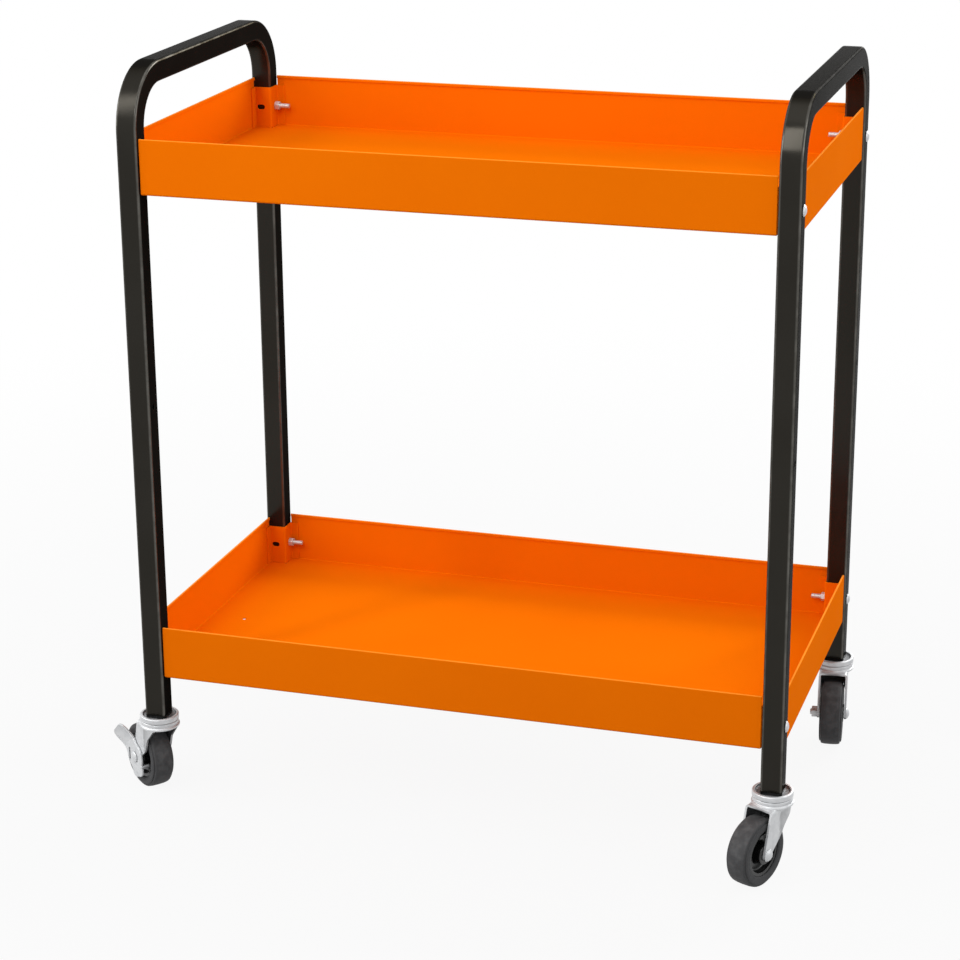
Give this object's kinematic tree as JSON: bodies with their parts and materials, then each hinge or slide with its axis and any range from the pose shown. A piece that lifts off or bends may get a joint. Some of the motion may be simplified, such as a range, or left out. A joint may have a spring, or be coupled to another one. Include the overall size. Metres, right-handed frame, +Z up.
{
  "type": "tray cart",
  "caption": "Workshop cart with an upper and a lower sheet-metal tray between U-shaped tube end frames, on swivel casters with brake levers at one end.",
  "frame": {"origin": "on the floor, under the middle of the cart's bounding box", "axes": "+X along the cart towards the end without brakes, +Y from the front to the back, +Z up"},
  "size_m": [0.848, 0.5478, 0.885],
  "materials": {
    "frame_black": "satin powder coat",
    "tray_orange": "satin powder coat",
    "zinc_plate": "bright zinc plating",
    "grey_rubber": "matt moulded rubber",
    "black_plastic": "moulded plastic"
  },
  "bodies": {
    "frame": {"left_end_frame": "frame_black", "right_end_frame": "frame_black", "upper_tray": "tray_orange", "lower_tray": "tray_orange", "upper_corner_brackets": "tray_orange", "lower_corner_brackets": "tray_orange", "upper_tray_bolts": "zinc_plate", "lower_tray_bolts": "zinc_plate", "upper_tray_nuts": "zinc_plate", "lower_tray_nuts": "zinc_plate", "tube_inserts": "black_plastic", "front_left_caster_stem": "zinc_plate", "front_left_caster_cup": "zinc_plate", "front_right_caster_stem": "zinc_plate", "front_right_caster_cup": "zinc_plate", "back_left_caster_stem": "zinc_plate", "back_left_caster_cup": "zinc_plate", "back_right_caster_stem": "zinc_plate", "back_right_caster_cup": "zinc_plate"},
    "front_left_swivel": {"front_left_caster_fork": "zinc_plate", "front_left_caster_balls": "zinc_plate", "front_left_axle_sleeve": "zinc_plate", "front_left_axle_bolt": "zinc_plate", "front_left_axle_nut": "zinc_plate"},
    "front_left_wheel": {"front_left_tyre": "grey_rubber", "front_left_wheel_core": "black_plastic"},
    "front_left_brake": {"front_left_brake_lever": "zinc_plate"},
    "front_right_swivel": {"front_right_caster_fork": "zinc_plate", "front_right_caster_balls": "zinc_plate", "front_right_axle_sleeve": "zinc_plate", "front_right_axle_bolt": "zinc_plate", "front_right_axle_nut": "zinc_plate"},
    "front_right_wheel": {"front_right_tyre": "grey_rubber", "front_right_wheel_core": "black_plastic"},
    "back_left_swivel": {"back_left_caster_fork": "zinc_plate", "back_left_caster_balls": "zinc_plate", "back_left_axle_sleeve": "zinc_plate", "back_left_axle_bolt": "zinc_plate", "back_left_axle_nut": "zinc_plate"},
    "back_left_wheel": {"back_left_tyre": "grey_rubber", "back_left_wheel_core": "black_plastic"},
    "back_left_brake": {"back_left_brake_lever": "zinc_plate"},
    "back_right_swivel": {"back_right_caster_fork": "zinc_plate", "back_right_caster_balls": "zinc_plate", "back_right_axle_sleeve": "zinc_plate", "back_right_axle_bolt": "zinc_plate", "back_right_axle_nut": "zinc_plate"},
    "back_right_wheel": {"back_right_tyre": "grey_rubber", "back_right_wheel_core": "black_plastic"}
  },
  "joints": [
    {"name": "front_left_swivel_turn", "type": "hinge", "parent": "frame", "child": "front_left_swivel", "pos_m": [-0.3522, -0.20525, 0.095], "axis": [0, 0, 1], "continuous": true},
    {"name": "front_left_wheel_spin", "type": "hinge", "parent": "front_left_swivel", "child": "front_left_wheel", "pos_m": [-0.37629, -0.18574, 0.04], "axis": [-0.6293, -0.7771, 0], "continuous": true},
    {"name": "front_left_brake_rock", "type": "hinge", "parent": "front_left_swivel", "child": "front_left_brake", "pos_m": [-0.37629, -0.18574, 0.04], "axis": [-0.6293, -0.7771, 0], "range_deg": [0, 25]},
    {"name": "front_right_swivel_turn", "type": "hinge", "parent": "frame", "child": "front_right_swivel", "pos_m": [0.3978, -0.20525, 0.095], "axis": [0, 0, 1], "continuous": true},
    {"name": "front_right_wheel_spin", "type": "hinge", "parent": "front_right_swivel", "child": "front_right_wheel", "pos_m": [0.38519, -0.23357, 0.04], "axis": [0.9135, -0.4067, 0], "continuous": true},
    {"name": "back_left_swivel_turn", "type": "hinge", "parent": "frame", "child": "back_left_swivel", "pos_m": [-0.3522, 0.19975, 0.095], "axis": [0, 0, 1], "continuous": true},
    {"name": "back_left_wheel_spin", "type": "hinge", "parent": "back_left_swivel", "child": "back_left_wheel", "pos_m": [-0.3416, 0.22888, 0.04], "axis": [-0.9397, 0.342, 0], "continuous": true},
    {"name": "back_left_brake_rock", "type": "hinge", "parent": "back_left_swivel", "child": "back_left_brake", "pos_m": [-0.3416, 0.22888, 0.04], "axis": [-0.9397, 0.342, 0], "range_deg": [0, 25]},
    {"name": "back_right_swivel_turn", "type": "hinge", "parent": "frame", "child": "back_right_swivel", "pos_m": [0.3978, 0.19975, 0.095], "axis": [0, 0, 1], "continuous": true},
    {"name": "back_right_wheel_spin", "type": "hinge", "parent": "back_right_swivel", "child": "back_right_wheel", "pos_m": [0.40158, 0.16898, 0.04], "axis": [0.9925, 0.1219, 0], "continuous": true}
  ]
}
